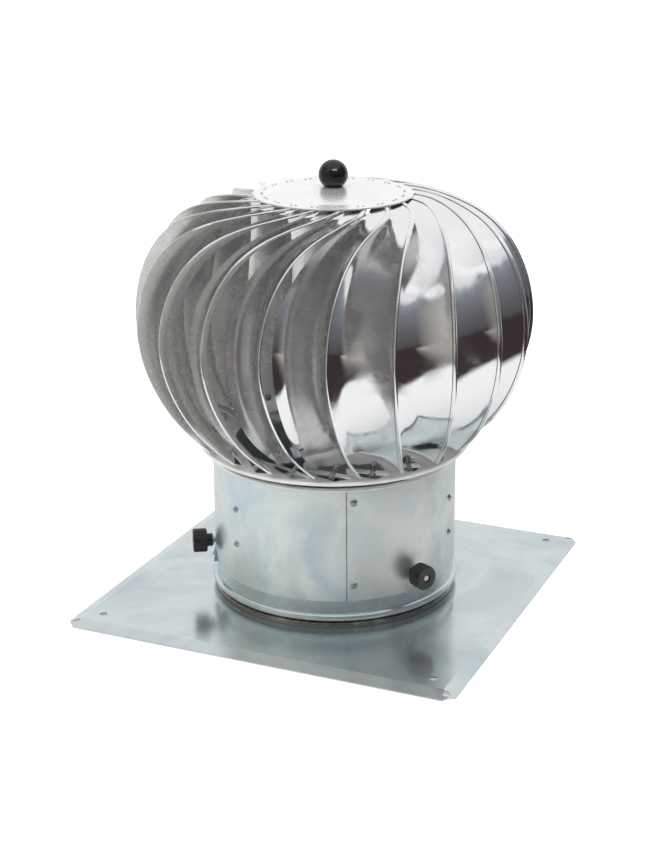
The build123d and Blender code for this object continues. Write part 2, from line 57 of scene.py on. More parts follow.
def openEdit(piece, element="FACE"):
    pickOnly(piece)
    bpy.ops.object.mode_set(mode="EDIT")
    bpy.ops.mesh.select_mode(type=element)
    bpy.ops.mesh.select_all(action="DESELECT")
    return bmesh.from_edit_mesh(piece.data)


def closeEdit(piece):
    bmesh.update_edit_mesh(piece.data)
    bpy.ops.object.mode_set(mode="OBJECT")


def applyModifier(piece, kind, **settings):
    pickOnly(piece)
    bpy.ops.object.modifier_add(type=kind)
    modifier = piece.modifiers[-1]
    for key, value in settings.items():
        setattr(modifier, key, value)
    bpy.ops.object.modifier_apply(modifier=modifier.name)


def finishPiece(piece, name, body, materials=(), smoothAngle=35):
    pickOnly(piece)
    bpy.ops.object.transform_apply(location=True, rotation=True, scale=True)
    piece.name = name
    piece.data.name = name
    if materials:
        piece.data.materials.clear()
    for material in materials:
        piece.data.materials.append(material)
    bpy.ops.object.shade_smooth_by_angle(angle=math.radians(smoothAngle))
    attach(piece, body)
    return piece


def aroundAxis(radius, azimuth, height):
    # azimuth 0 is the -Y side, and it grows counter-clockwise seen from above
    turn = math.radians(azimuth)
    return Vector((radius * math.sin(turn), -radius * math.cos(turn), height))


def pressPits(piece, direction, inset, depth):
    # the faces that look along the direction are inset and pushed in
    mesh = openEdit(piece)
    for face in mesh.faces:
        face.select_set(face.normal.dot(direction) > 0.9)
    bpy.ops.mesh.inset(thickness=inset, use_individual=True)
    bpy.ops.mesh.extrude_region_move(TRANSFORM_OT_translate={"value": direction * -depth})
    pits = [face.index for face in bmesh.from_edit_mesh(piece.data).faces if face.select]
    closeEdit(piece)
    return pits


# the pits get the second material, a near-black that is painted shade in the recesses
def paintShadeInPits(piece, pits):
    for index in pits:
        piece.data.polygons[index].material_index = 1


# ---- camera
camera = {
    "place": (0.54269, -1.24274, 0.61737),
    "aim": (0.0, 0.0, 0.12995),
    "roll": -0.25,
    "lens": 97.33,
    "shiftX": -0.01603,
    "shiftY": 0.00653,
}
cameraData = bpy.data.cameras.new("studioCamera")
cameraData.sensor_fit = "HORIZONTAL"
cameraData.sensor_width = 36.0
cameraData.lens = camera["lens"]
cameraData.shift_x = camera["shiftX"]
cameraData.shift_y = camera["shiftY"]
cameraData.clip_end = 20.0
studioCamera = bpy.data.objects.new("studioCamera", cameraData)
bpy.context.scene.collection.objects.link(studioCamera)
sight = Vector(camera["aim"]) - Vector(camera["place"])
turned = sight.to_track_quat("-Z", "Y").to_matrix() @ Matrix.Rotation(math.radians(camera["roll"]), 3, "Z")
studioCamera.matrix_world = Matrix.Translation(camera["place"]) @ turned.to_4x4()
bpy.context.scene.camera = studioCamera
bpy.context.scene.view_settings.view_transform = "Standard"
print("camera placed")


# ---- material helpers
def newFinish(name, **shaderValues):
    finish = bpy.data.materials.new(name)
    finish.use_nodes = True
    tree = finish.node_tree
    shader = tree.nodes["Principled BSDF"]
    for socket, value in shaderValues.items():
        shader.inputs[socket.replace("_", " ")].default_value = value
    return finish, tree, shader


def addNode(tree, kind, inputs=None, **settings):
    node = tree.nodes.new("ShaderNode" + kind)
    for key, value in settings.items():
        setattr(node, key, value)
    for key, value in (inputs or {}).items():
        if isinstance(value, bpy.types.NodeSocket):
            tree.links.new(value, node.inputs[key])
        else:
            node.inputs[key].default_value = value
    return node


def objectPlace(tree, scale=(1, 1, 1)):
    place = addNode(tree, "TexCoord").outputs["Object"]
    return addNode(tree, "Mapping", {"Vector": place, "Scale": scale}).outputs["Vector"]


def cloud(tree, place, scale, detail=3.0, roughness=0.55, distortion=0.0):
    return addNode(tree, "TexNoise", {"Vector": place, "Scale": scale, "Detail": detail,
                                      "Roughness": roughness, "Distortion": distortion}).outputs["Fac"]


def ramp(tree, value, stops):
    node = addNode(tree, "ValToRGB", {"Fac": value})
    while len(node.color_ramp.elements) < len(stops):
        node.color_ramp.elements.new(0.5)
    for element, (position, colour) in zip(node.color_ramp.elements, stops):
        element.position = position
        element.color = (*colour, 1.0)
    return node.outputs["Color"]


def between(tree, value, low, high, fromLow=0.0, fromHigh=1.0):
    return addNode(tree, "MapRange", {"Value": value, "From Min": fromLow, "From Max": fromHigh,
                                      "To Min": low, "To Max": high}).outputs["Result"]


def mixColour(tree, share, first, second):
    node = addNode(tree, "Mix", data_type="RGBA")
    for socket, value in (("Factor", share), ("A", first), ("B", second)):
        target = [s for s in node.inputs if s.name == socket and s.enabled][0]
        if isinstance(value, bpy.types.NodeSocket):
            tree.links.new(value, target)
        else:
            target.default_value = value if isinstance(value, float) else (*value, 1.0)
    return [s for s in node.outputs if s.enabled][0]


def feed(tree, shader, socket, value):
    tree.links.new(value, shader.inputs[socket])


def bump(tree, shader, height, strength, distance, normal=None):
    inputs = {"Height": height, "Strength": strength, "Distance": distance}
    if normal:
        inputs["Normal"] = normal
    out = addNode(tree, "Bump", inputs).outputs["Normal"]
    feed(tree, shader, "Normal", out)
    return out


def combined(tree, operation, first, second):
    return addNode(tree, "Math", {0: first, 1: second}, operation=operation).outputs["Value"]


def product(tree, *shares):
    result = shares[0]
    for share in shares[1:]:
        result = combined(tree, "MULTIPLY", result, share)
    return result


def reachToward(tree, place, direction):
    # how far a place or a way goes along a direction
    return addNode(tree, "VectorMath", {0: place, 1: direction}, operation="DOT_PRODUCT").outputs["Value"]


def glow(tree, kind, colour, strength):
    shader = addNode(tree, kind, {"Color": colour, "Strength": strength})
    return shader.outputs[0]


def mixShader(tree, share, first, second):
    return addNode(tree, "MixShader", {0: share, 1: first, 2: second}).outputs["Shader"]


# ---- aluminium sheet of the blades, polished outside and satin inside: streaks run up each blade
bladeFinish = {
    "bladeAluminium": {"shade": ((0.82, 0.83, 0.84), (0.92, 0.925, 0.93)), "roughness": (0.05, 0.22),
                       "metallic": 1.0, "relief": 0.5},
    "bladeBack": {"shade": ((0.80, 0.79, 0.77), (0.90, 0.89, 0.87)), "roughness": (0.22, 0.30),
                  "metallic": 0.72, "relief": 0.2},
    "streaks": (52, 7),        # streaks across the sheet and along it
    "streakRub": 0.03,
    "streakDepth": 0.00002,
    "smudge": 45.0,
    "wave": 16,
    "waveDepth": 0.0004,
}


def makeBladeFinish(name):
    values = bladeFinish[name]
    finish, tree, shader = newFinish(name, Metallic=values["metallic"])
    sheetPlace = addNode(tree, "UVMap", uv_map="UVMap").outputs["UV"]
    across, along = bladeFinish["streaks"]
    streakPlace = addNode(tree, "Mapping", {"Vector": sheetPlace, "Scale": (across, along, 1)})
    streaks = cloud(tree, streakPlace.outputs["Vector"], 6.0, 5.0, 0.7)
    body = cloud(tree, objectPlace(tree), bladeFinish["wave"], 2.0, 0.4)
    smudge = cloud(tree, objectPlace(tree), bladeFinish["smudge"], 6.0, 0.65, 0.6)
    dark, light = values["shade"]
    feed(tree, shader, "Base Color", ramp(tree, streaks, [(0.3, dark), (0.7, light)]))
    low, high = values["roughness"]
    rubbed = combined(tree, "ADD", between(tree, smudge, low, high, 0.46, 0.66),
                      between(tree, streaks, 0.0, bladeFinish["streakRub"], 0.4, 0.7))
    feed(tree, shader, "Roughness", rubbed)
    swell = bump(tree, shader, body, values["relief"], bladeFinish["waveDepth"])
    bump(tree, shader, streaks, 0.3, bladeFinish["streakDepth"], swell)
    return finish


# ---- bright aluminium of the rotor's ring and disc
brightFinish = {
    "discAluminium": {"shade": ((0.84, 0.85, 0.86), (0.93, 0.93, 0.935)), "roughness": (0.24, 0.38),
                      "metallic": 0.75, "fog": 22.0, "grain": 900, "grainDepth": 0.00004},
    "ringAluminium": {"shade": ((0.84, 0.84, 0.83), (0.95, 0.95, 0.94)), "roughness": (0.38, 0.55),
                      "metallic": 0.12, "fog": 22.0, "grain": 700, "grainDepth": 0.00004},
}


def makeBrightFinish(name):
    values = brightFinish[name]
    finish, tree, shader = newFinish(name, Metallic=values["metallic"])
    place = objectPlace(tree)
    fog = cloud(tree, place, values["fog"], 4.0, 0.6)
    grain = cloud(tree, objectPlace(tree, (1, 1, 0.2)), values["grain"], 2.0, 0.6)
    dark, light = values["shade"]
    feed(tree, shader, "Base Color", ramp(tree, fog, [(0.35, dark), (0.65, light)]))
    low, high = values["roughness"]
    feed(tree, shader, "Roughness", between(tree, fog, low, high, 0.35, 0.65))
    bump(tree, shader, grain, 0.25, values["grainDepth"])
    return finish


# ---- zinc coat: cool blotches, warm stains and a faint spangle
zincFinish = {
    # each band: the heights above the plate where it starts and where it is full, and its shade
    "neckZinc": {"cool": (0.53, 0.65, 0.70), "pale": (0.77, 0.83, 0.80), "warm": (0.73, 0.69, 0.63),
                 "blotch": 11.0, "spangle": 190.0, "roughness": (0.30, 0.46), "metallic": 0.82,
                 # the near-white band at the top of the neck is a painted highlight on its rolled rim
                 "bands": [(0.1152, 0.1160, (0.95, 0.95, 0.94))]},
    "plateZinc": {"cool": (0.50, 0.575, 0.60), "pale": (0.66, 0.72, 0.72), "warm": (0.60, 0.61, 0.58),
                  "blotch": 7.0, "spangle": 150.0, "roughness": (0.13, 0.24), "metallic": 0.88,
                  "bands": []},
    "collarZinc": {"cool": (0.50, 0.62, 0.66), "pale": (0.68, 0.75, 0.75), "warm": (0.62, 0.61, 0.56),
                   "blotch": 12.0, "spangle": 190.0, "roughness": (0.18, 0.32), "metallic": 0.9,
                   # the dark brown band at the foot is painted shade in the groove above the plate, partly
                   # also a brownish sealant line; the grey band below it lies on the crimp
                   "bands": [(0.0062, 0.0050, (0.16, 0.13, 0.11)), (0.0018, 0.0008, (0.55, 0.56, 0.54))]},
    "innerZinc": {"cool": (0.50, 0.60, 0.66), "pale": (0.70, 0.78, 0.80), "warm": (0.60, 0.58, 0.54),
                  "blotch": 20.0, "spangle": 240.0, "roughness": (0.30, 0.45), "metallic": 0.85,
                  "bands": []},
}
zincRelief = {
    "stain": 1.7,              # stains are this much finer than the blotches
    "patch": 60.0,
    "swell": 14.0,
    "swellDepth": 0.0012,
    "fine": 420.0,
    "fineDepth": 0.00006,
}


def makeZinc(name):
    values = zincFinish[name]
    finish, tree, shader = newFinish(name, Metallic=values["metallic"])
    place = objectPlace(tree)
    blotch = cloud(tree, place, values["blotch"], 4.0, 0.6, 0.8)
    stainScale = values["blotch"] * zincRelief["stain"]
    stain = cloud(tree, objectPlace(tree, (1.0, 1.0, 0.45)), stainScale, 3.0, 0.55, 0.4)
    cells = addNode(tree, "TexVoronoi", {"Vector": place, "Scale": values["spangle"]})
    spangle = cells.outputs["Distance"]
    cool, pale = values["cool"], values["pale"]
    colour = ramp(tree, blotch, [(0.34, cool), (0.52, pale), (0.70, cool)])
    colour = mixColour(tree, between(tree, stain, 0.0, 0.55, 0.5, 0.72), colour, values["warm"])
    colour = mixColour(tree, between(tree, spangle, 0.0, 0.14), colour, cool)
    height = addNode(tree, "SeparateXYZ", {"Vector": place}).outputs["Z"]
    # flat bands by height: a painted highlight on the neck's rim, painted shade with some sealant at the
    # collar's foot
    for clear, full, shade in values["bands"]:
        patchy = cloud(tree, place, zincRelief["patch"], 4.0, 0.7)
        share = product(tree, between(tree, height, 0.0, 1.0, plateTop + clear, plateTop + full),
                        between(tree, patchy, 0.6, 1.0, 0.35, 0.6))
        colour = mixColour(tree, share, colour, shade)
    feed(tree, shader, "Base Color", colour)
    low, high = values["roughness"]
    feed(tree, shader, "Roughness", between(tree, blotch, low, high, 0.3, 0.7))
    dents = cloud(tree, place, zincRelief["swell"], 2.0, 0.4)
    fine = cloud(tree, place, zincRelief["fine"], 3.0, 0.7)
    swell = bump(tree, shader, dents, 0.35, zincRelief["swellDepth"])
    bump(tree, shader, fine, 0.2, zincRelief["fineDepth"], swell)
    return finish


# ---- turned and cold-headed steel, and a near-black metal that is painted shade in pits and along the neck's seam
steelFinish = {
    "rivetSteel": {"shade": ((0.30, 0.31, 0.32), (0.62, 0.63, 0.63)), "roughness": 0.22},
    "bearingSteel": {"shade": ((0.60, 0.61, 0.62), (0.80, 0.81, 0.82)), "roughness": 0.12},
    # near-black painted shade, for the pits and the seam's shadow line
    "paintedShadeMetal": {"shade": ((0.025, 0.025, 0.027), (0.06, 0.06, 0.062)), "roughness": 0.5},
    "wear": 260.0,
    "wearRoughness": 0.14,
    "wearDepth": 0.00005,
}


def makeSteel(name):
    dark, light = steelFinish[name]["shade"]
    smooth = steelFinish[name]["roughness"]
    finish, tree, shader = newFinish(name, Metallic=1.0)
    wear = cloud(tree, objectPlace(tree), steelFinish["wear"], 4.0, 0.65)
    rough = smooth + steelFinish["wearRoughness"]
    feed(tree, shader, "Base Color", ramp(tree, wear, [(0.35, dark), (0.65, light)]))
    feed(tree, shader, "Roughness", between(tree, wear, smooth, rough, 0.35, 0.65))
    bump(tree, shader, wear, 0.2, steelFinish["wearDepth"])
    return finish


# ---- moulded black plastics
plasticFinish = {
    "gripPlastic": {"shade": ((0.010, 0.010, 0.011), (0.026, 0.026, 0.028)),
                    "roughness": (0.20, 0.36), "grainDepth": 0.00005},
    "ballPlastic": {"shade": ((0.004, 0.004, 0.0045), (0.008, 0.008, 0.009)),
                    "roughness": (0.04, 0.09), "grainDepth": 0.000004},
    "grain": 900.0,
    "rubbed": 130.0,
}


def makePlastic(name):
    values = plasticFinish[name]
    dark, light = values["shade"]
    smooth, dull = values["roughness"]
    finish, tree, shader = newFinish(name, Metallic=0.0)
    place = objectPlace(tree)
    grain = cloud(tree, place, plasticFinish["grain"], 3.0, 0.6)
    rubbed = cloud(tree, place, plasticFinish["rubbed"], 4.0, 0.6)
    feed(tree, shader, "Base Color", ramp(tree, rubbed, [(0.35, dark), (0.68, light)]))
    feed(tree, shader, "Roughness", between(tree, rubbed, smooth, dull, 0.35, 0.65))
    bump(tree, shader, grain, 0.3, values["grainDepth"])
    return finish


bladeAluminium = makeBladeFinish("bladeAluminium")
bladeBack = makeBladeFinish("bladeBack")
discAluminium = makeBrightFinish("discAluminium")
ringAluminium = makeBrightFinish("ringAluminium")
neckZinc = makeZinc("neckZinc")
collarZinc = makeZinc("collarZinc")
plateZinc = makeZinc("plateZinc")
innerZinc = makeZinc("innerZinc")
rivetSteel = makeSteel("rivetSteel")
bearingSteel = makeSteel("bearingSteel")
paintedShadeMetal = makeSteel("paintedShadeMetal")
gripPlastic = makePlastic("gripPlastic")
ballPlastic = makePlastic("ballPlastic")

nodeFinishes = {
    "base_plate": plateZinc, "base_collar": collarZinc, "neck_sleeve": neckZinc,
    "neck_spider": innerZinc, "hub_tube": innerZinc, "rotor_arms": innerZinc,
    "bottom_ring": ringAluminium, "top_disc": discAluminium, "ball_knob": ballPlastic,
    "blade_rivets": rivetSteel,
}


def finishFor(nodeName):
    if nodeName in nodeFinishes:
        return nodeFinishes[nodeName]
    if nodeName.startswith("clamp_knob"):
        return gripPlastic
    if nodeName.endswith(("race", "balls")):
        return bearingSteel
    if nodeName.startswith("blade_"):
        return discAluminium
    return rivetSteel              # screws, nuts, washers, rivets, the axle and the hub's cap


for nodeName, node in nodes.items():
    node.data.materials.clear()
    node.data.materials.append(finishFor(nodeName))
print("finishes on the solid pieces")


# ---- blades: pressed sheet with a turned-in lip and a hem folded onto the outer edge
blade = {
    "count": 20,
    "firstAzimuth": 24.6,
    "sheet": 0.0006,
    "lipTurn": 45.0,
    "lipMiddle": 0.45,
    "shares": (0.04, 0.16, 0.36, 0.6, 0.82, 1.0),    # marks on the chord from the fold outwards
    "rows": 66,
    "steps": (2, 3, 2, 3, 4, 4, 4),                  # faces between one mark and the next, lip first
    "hemWidth": 0.0036,
    "hemShare": 0.3,           # the hem takes no more of a narrow tip than this
    "hemRise": 0.0010,
    "hemRound": 0.0009,
    "hemSteps": 3,
    "smoothAngle": 40,
    # in millimetres and degrees, from the foot up: height, radius and azimuth of the outer edge,
    # the same of the fold, the lip's width, and the bulge as a share of the chord
    "stations": [
        ((131.0, 112.5, 27.3), (131.0, 93.0, 10.0), 0.6, 0.01),
        ((152.0, 132.0, 21.5), (154.0, 112.0, 5.6), 6.0, 0.08),
        ((190.0, 152.5, 17.0), (191.0, 127.5, 1.5), 7.5, 0.105),
        ((232.0, 159.5, 15.3), (233.0, 130.0, 0.0), 7.5, 0.105),
        ((272.0, 151.0, 16.8), (268.0, 119.5, 2.0), 7.0, 0.10),
        ((302.0, 131.5, 21.8), (296.0, 101.0, 9.5), 6.0, 0.09),
        ((318.6, 104.0, 33.0), (314.5, 81.0, 24.0), 3.5, 0.05),
        ((325.6, 77.0, 50.5), (324.4, 68.0, 39.5), 1.2, 0.02),
        ((326.8, 57.0, 62.0), (326.8, 53.0, 52.0), 0.6, 0.0),
    ],
}


def stationPlace(place):
    height, radius, azimuth = place
    return aroundAxis(radius / 1000, azimuth, plateTop + height / 1000)


def stationLine(index):
    stations = blade["stations"]
    outerPlace, foldPlace, lip, bulge = stations[index]
    outer, fold = stationPlace(outerPlace), stationPlace(foldPlace)
    below, above = stations[max(index - 1, 0)], stations[min(index + 1, len(stations) - 1)]
    rise = stationPlace(above[0]) + stationPlace(above[1]) - stationPlace(below[0]) - stationPlace(below[1])
    chord = outer - fold
    across = chord.normalized()
    outward = rise.cross(chord).normalized()
    turn = math.radians(blade["lipTurn"])
    lipWay = across * -math.cos(turn) - outward * math.sin(turn)
    line = [fold + lipWay * lip / 1000, fold + lipWay * lip * blade["lipMiddle"] / 1000]
    for share in blade["shares"]:
        swell = 4 * bulge * chord.length * share * (1 - share)
        line.append(fold + chord * share + outward * swell)
    return line


def curveThrough(marks, places, wanted):
    # natural cubic curve through the places, read at the wanted marks
    gaps = numpy.diff(marks)
    slopes = numpy.diff(places, axis=0) / gaps[:, None]
    count = len(marks)
    system = numpy.eye(count)
    pull = numpy.zeros((count, 3))
    for k in range(1, count - 1):
        system[k, k - 1:k + 2] = gaps[k - 1], 2 * (gaps[k - 1] + gaps[k]), gaps[k]
        pull[k] = 6 * (slopes[k] - slopes[k - 1])
    bend = numpy.linalg.solve(system, pull)
    found = []
    for mark in wanted:
        k = min(max(int(numpy.searchsorted(marks, mark, side="right")) - 1, 0), count - 2)
        left, right, gap = mark - marks[k], marks[k + 1] - mark, gaps[k]
        found.append((bend[k] * right ** 3 + bend[k + 1] * left ** 3) / (6 * gap)
                     + (places[k] / gap - bend[k] * gap / 6) * right
                     + (places[k + 1] / gap - bend[k + 1] * gap / 6) * left)
    return numpy.array(found)


def runAlong(places):
    # distance from the first place to each of them, step by step
    steps = numpy.linalg.norm(numpy.diff(places, axis=0), axis=1)
    return numpy.concatenate([[0], numpy.cumsum(steps)])


def bladeSurface():
    # rows of places up the blade, each from the lip's edge to the outer edge
    lines = numpy.array([stationLine(index) for index in range(len(blade["stations"]))])
    middle = lines[:, 2:].mean(axis=1)
    upMarks = runAlong(middle)
    wantedUp = numpy.linspace(0, upMarks[-1], blade["rows"])
    columns = [curveThrough(upMarks, lines[:, k], wantedUp) for k in range(lines.shape[1])]
    rows = []
    for row in range(blade["rows"]):
        places = numpy.array([column[row] for column in columns])
        marks = runAlong(places)
        hem = min(blade["hemWidth"], blade["hemShare"] * (marks[-1] - marks[2]))
        wanted = [marks[0]]
        for k, steps in enumerate(blade["steps"]):
            end = marks[k + 1] - (hem if k == len(blade["steps"]) - 1 else 0)
            wanted += list(numpy.linspace(wanted[-1], end, steps + 1)[1:])
        rows.append(curveThrough(marks, places, wanted + [marks[-1]]))
    return numpy.array(rows)


def makeBlade():
    surface = bladeSurface()
    rowCount, columnCount = surface.shape[:2]
    bpy.ops.mesh.primitive_grid_add(x_subdivisions=columnCount - 1, y_subdivisions=rowCount - 1, size=1)
    piece = bpy.context.active_object
    hemCorners = set()
    for vertex in piece.data.vertices:
        column = round((vertex.co.x + 0.5) * (columnCount - 1))
        row = round((vertex.co.y + 0.5) * (rowCount - 1))
        vertex.co = surface[row][column]
        if column >= columnCount - 2:
            hemCorners.add(vertex.index)
    piece.data.materials.append(bladeAluminium)
    piece.data.materials.append(bladeBack)
    applyModifier(piece, "SOLIDIFY", thickness=blade["sheet"], offset=-1.0, material_offset=1)
    # the hem: a strip of the outer skin is drawn out by one sheet and its edges are rounded
    mesh = openEdit(piece)
    for face in mesh.faces:
        if all(corner.index in hemCorners for corner in face.verts):
            face.select_set(True)
    bpy.ops.mesh.extrude_region_shrink_fatten(TRANSFORM_OT_shrink_fatten={"value": blade["hemRise"]})
    bpy.ops.mesh.select_mode(type="EDGE")
    bpy.ops.mesh.region_to_loop()
    bpy.ops.mesh.bevel(offset=blade["hemRound"], segments=blade["hemSteps"])
    closeEdit(piece)
    return piece


firstBlade = makeBlade()
pitch = 360 / blade["count"]
bladeCopies = [firstBlade]
for number in range(1, blade["count"]):
    pickOnly(firstBlade)
    bpy.ops.object.duplicate()
    bladeCopies.append(bpy.context.active_object)
for number, piece in enumerate(bladeCopies):
    piece.rotation_euler.z = math.radians(blade["firstAzimuth"] + number * pitch)
    finishPiece(piece, f"hemmedBlade_{number + 1:02d}", "rotor", smoothAngle=blade["smoothAngle"])
    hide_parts(f"blade_{number + 1:02d}")
print("blades hemmed:", len(bladeCopies))


# ---- clinch marks: each blade's tip is pressed twice into the top disc
clinch = {
    "radius": 0.056,
    "azimuth": 81.0,
    "apart": 0.0043,
    "ring": 0.0011,
    "pit": 0.0008,
    "rise": 0.0003,
    "pitDepth": 0.00024,
    "discSheet": 0.001,
}


def makeClinchMarks():
    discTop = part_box("top_disc")[0].z + clinch["discSheet"]
    marks = []
    for number in range(blade["count"]):
        for side in (-0.5, 0.5):
            azimuth = clinch["azimuth"] + number * pitch
            azimuth += math.degrees(side * clinch["apart"] / clinch["radius"])
            place = aroundAxis(clinch["radius"], azimuth, discTop + clinch["rise"] / 2)
            bpy.ops.mesh.primitive_cylinder_add(vertices=12, radius=clinch["ring"], depth=clinch["rise"],
                                                location=place)
            marks.append(bpy.context.active_object)
    pickOnly(*marks)
    bpy.ops.object.join()
    piece = bpy.context.active_object
    bpy.ops.object.transform_apply(location=True, rotation=True, scale=True)
    # the pressed pits are painted near-black: painted shade in each dimple
    pits = pressPits(piece, Vector((0, 0, 1)), clinch["ring"] - clinch["pit"], clinch["pitDepth"])
    finishPiece(piece, "clinchMarks", "rotor", [discAluminium, paintedShadeMetal], 30)
    paintShadeInPits(piece, pits)


makeClinchMarks()
print("clinch marks pressed")


# ---- blind rivets of the neck: a drawn mandrel sits in the middle of each head
mandrel = {
    "radius": 0.00135,
    "depth": 0.0009,
    "lip": 0.00045,
    "sink": 0.0004,
    "headTop": 0.00128,        # how far its end stands off the sheet
    "neckRadius": 0.1,
    "seamAzimuth": 32.0,
    "seamRise": 0.00062,       # the lap of the seam is this proud of the neck
    "seamHeights": (0.036, 0.106),
    "spiderAzimuths": (331.5, 91.5, 211.5),
    "spiderHeights": (0.056, 0.086),
}


def mandrelPlaces():
    end = mandrel["neckRadius"] + mandrel["headTop"]
    for height in mandrel["seamHeights"]:
        yield mandrel["seamAzimuth"], end + mandrel["seamRise"], height
    for azimuth in mandrel["spiderAzimuths"]:
        for height in mandrel["spiderHeights"]:
            yield azimuth, end, height


def makeMandrels():
    for number, (azimuth, radius, height) in enumerate(mandrelPlaces(), start=1):
        place = aroundAxis(radius, azimuth, plateTop + height)
        lying = (math.pi / 2, 0, math.radians(azimuth))
        bpy.ops.mesh.primitive_cylinder_add(vertices=24, radius=mandrel["radius"], depth=mandrel["depth"],
                                            location=place, rotation=lying)
        piece = bpy.context.active_object
        bpy.ops.object.transform_apply(location=True, rotation=True, scale=True)
        # the hole in each mandrel's end is painted near-black: painted shade in the hole
        pits = pressPits(piece, aroundAxis(1, azimuth, 0), mandrel["lip"], mandrel["sink"])
        finishPiece(piece, f"mandrel_{number}", "head", [rivetSteel, paintedShadeMetal])
        paintShadeInPits(piece, pits)


makeMandrels()
print("mandrels set")


# ---- seam of the neck: a near-black strip along the lap's edge is painted shade, the shadow line under the lap
seam = {
    "azimuth": 29.0,
    "azimuthShift": -0.12,
    "radius": 0.10005,
    "proud": 0.0008,
    "width": 0.00036,
    "low": 0.0229,
    "high": 0.1153,
    "round": 0.0001,
}


def makeSeamShadowStrip():
    middle = (seam["low"] + seam["high"]) / 2
    radius = seam["radius"] + seam["proud"] / 2
    place = aroundAxis(radius, seam["azimuth"] + seam["azimuthShift"], plateTop + middle)
    bpy.ops.mesh.primitive_cube_add(size=1, location=place, rotation=(0, 0, math.radians(seam["azimuth"])),
                                    scale=(seam["width"], seam["proud"], seam["high"] - seam["low"]))
    piece = bpy.context.active_object
    bpy.ops.object.transform_apply(location=True, rotation=True, scale=True)
    mesh = openEdit(piece, "EDGE")
    for edge in mesh.edges:
        edge.select_set(edge.calc_length() > 0.01)    # only the long ones
    bpy.ops.mesh.bevel(offset=seam["round"], segments=2)
    closeEdit(piece)
    # the whole strip is near-black: painted shade
    finishPiece(piece, "seamShadowStrip", "head", [paintedShadeMetal])


makeSeamShadowStrip()
print("seam edge laid")


# ---- studio: a pale table, a dark room beyond it, soft lamps overhead
studio = {
    "floorSize": 12.0,
    "floorDrop": 0.0002,
    "floorShade": (0.80, 0.80, 0.80, 1),
    "floorGlow": (0.45, 1.0, 0.45, 1.4),     # glow near and far, and the distances where they start
    "tableRadius": 0.56,                     # past this, metal mirrors the room instead
    "tableEdge": 0.05,
    "tableCentre": (-0.19, -0.03, 0.0),
    "farFloor": (0.045, 0.032, 0.034),
    "plainLight": 0.55,
    # four ways out of the studio: towards the viewer, to the left, to the open back, up to a long window
    "front": (0.40, -0.916, 0.0),
    "leftSide": (-0.916, -0.40, 0.0),
    "openSide": (-0.40, 0.916, 0.0),
    "window": (-0.3293, -0.1438, 0.9331),
    "leftShade": (0.50, 0.48, 0.44),
    "openFloorShade": (0.9, 0.9, 0.9),
    "openShade": (0.95, 0.95, 0.96),
    "windowShade": (1.0, 1.0, 1.0),
    "windowSpan": (0.735, 0.84),             # cosines of the angles between which the window lies
    "windowEnds": (0.31, 0.63),              # how far to the front its two ends are
    "windowBlur": (0.008, 0.03),
    # sine of the elevation seen by polished metal, and the room's colour there
    "room": [
        (-1.0, (0.10, 0.075, 0.075)), (-0.05, (0.05, 0.035, 0.04)), (0.02, (0.085, 0.08, 0.085)),
        (0.28, (0.13, 0.13, 0.145)), (0.56, (0.20, 0.215, 0.24)), (0.66, (0.28, 0.30, 0.34)),
        (0.71, (0.80, 0.80, 0.81)), (1.0, (1.0, 1.0, 1.0)),
    ],
    "roomWander": 0.05,                      # how unevenly those bands run
    # each share's least and most, and how far out it starts and is full
    "floorLeft": (0.0, 0.85, 0.15, 0.9),
    "floorOpen": (0.0, 1.0, 0.15, 0.6),
    "roomLeft": (0.0, 0.9, 0.15, 0.75),
    "roomLow": (1.0, 0.0, 0.45, 0.72),
    "roomOpen": (0.0, 1.0, 0.30, 0.62),
}
white = (1, 1, 1, 1)


def makeFloor():
    below = (0, 0, -studio["floorDrop"])
    bpy.ops.mesh.primitive_plane_add(size=studio["floorSize"], location=below)
    floor = bpy.context.active_object
    floor.name = "studioFloor"
    finish = bpy.data.materials.new("studioFloor")
    finish.use_nodes = True
    tree = finish.node_tree
    tree.nodes.clear()
    rays = addNode(tree, "LightPath")
    place = addNode(tree, "TexCoord").outputs["Object"]
    fromTable = addNode(tree, "VectorMath", {0: place, 1: studio["tableCentre"]}, operation="SUBTRACT")
    reach = addNode(tree, "VectorMath", {0: fromTable.outputs["Vector"]}, operation="LENGTH")
    reach = reach.outputs["Value"]
    pale = addNode(tree, "BsdfDiffuse", {"Color": studio["floorShade"]}).outputs["BSDF"]
    whiteGlow = glow(tree, "Emission", white, between(tree, reach, *studio["floorGlow"]))
    lit = addNode(tree, "AddShader", {0: pale, 1: whiteGlow}).outputs["Shader"]
    byCamera = mixShader(tree, rays.outputs["Is Camera Ray"], pale, lit)
    toLeft = reachToward(tree, place, studio["leftSide"])
    toOpen = reachToward(tree, place, studio["openSide"])
    leftShare = between(tree, toLeft, *studio["floorLeft"])
    openShare = between(tree, toOpen, *studio["floorOpen"])
    shade = mixColour(tree, leftShare, studio["farFloor"], studio["leftShade"])
    shade = mixColour(tree, openShare, shade, studio["openFloorShade"])
    edge = studio["tableRadius"] + studio["tableEdge"]
    beyond = between(tree, reach, 0.0, 1.0, studio["tableRadius"], edge)
    seenInMetal = product(tree, rays.outputs["Is Glossy Ray"], beyond)
    surface = mixShader(tree, seenInMetal, byCamera, glow(tree, "Emission", shade, 1.0))
    addNode(tree, "OutputMaterial", {"Surface": surface})
    floor.data.materials.append(finish)


def windowShare(tree, way):
    # 1 inside the long window high on the left, 0 outside it
    toWindow = reachToward(tree, way, studio["window"])
    toFront = reachToward(tree, way, studio["front"])
    near, far = studio["windowSpan"]
    left, right = studio["windowEnds"]
    sideBlur, endBlur = studio["windowBlur"]
    return product(tree,
                   between(tree, toWindow, 0.0, 1.0, near - sideBlur, near + sideBlur),
                   between(tree, toWindow, 1.0, 0.0, far - sideBlur, far + sideBlur),
                   between(tree, toFront, 0.0, 1.0, left - endBlur, left + endBlur),
                   between(tree, toFront, 1.0, 0.0, right - endBlur, right + endBlur))


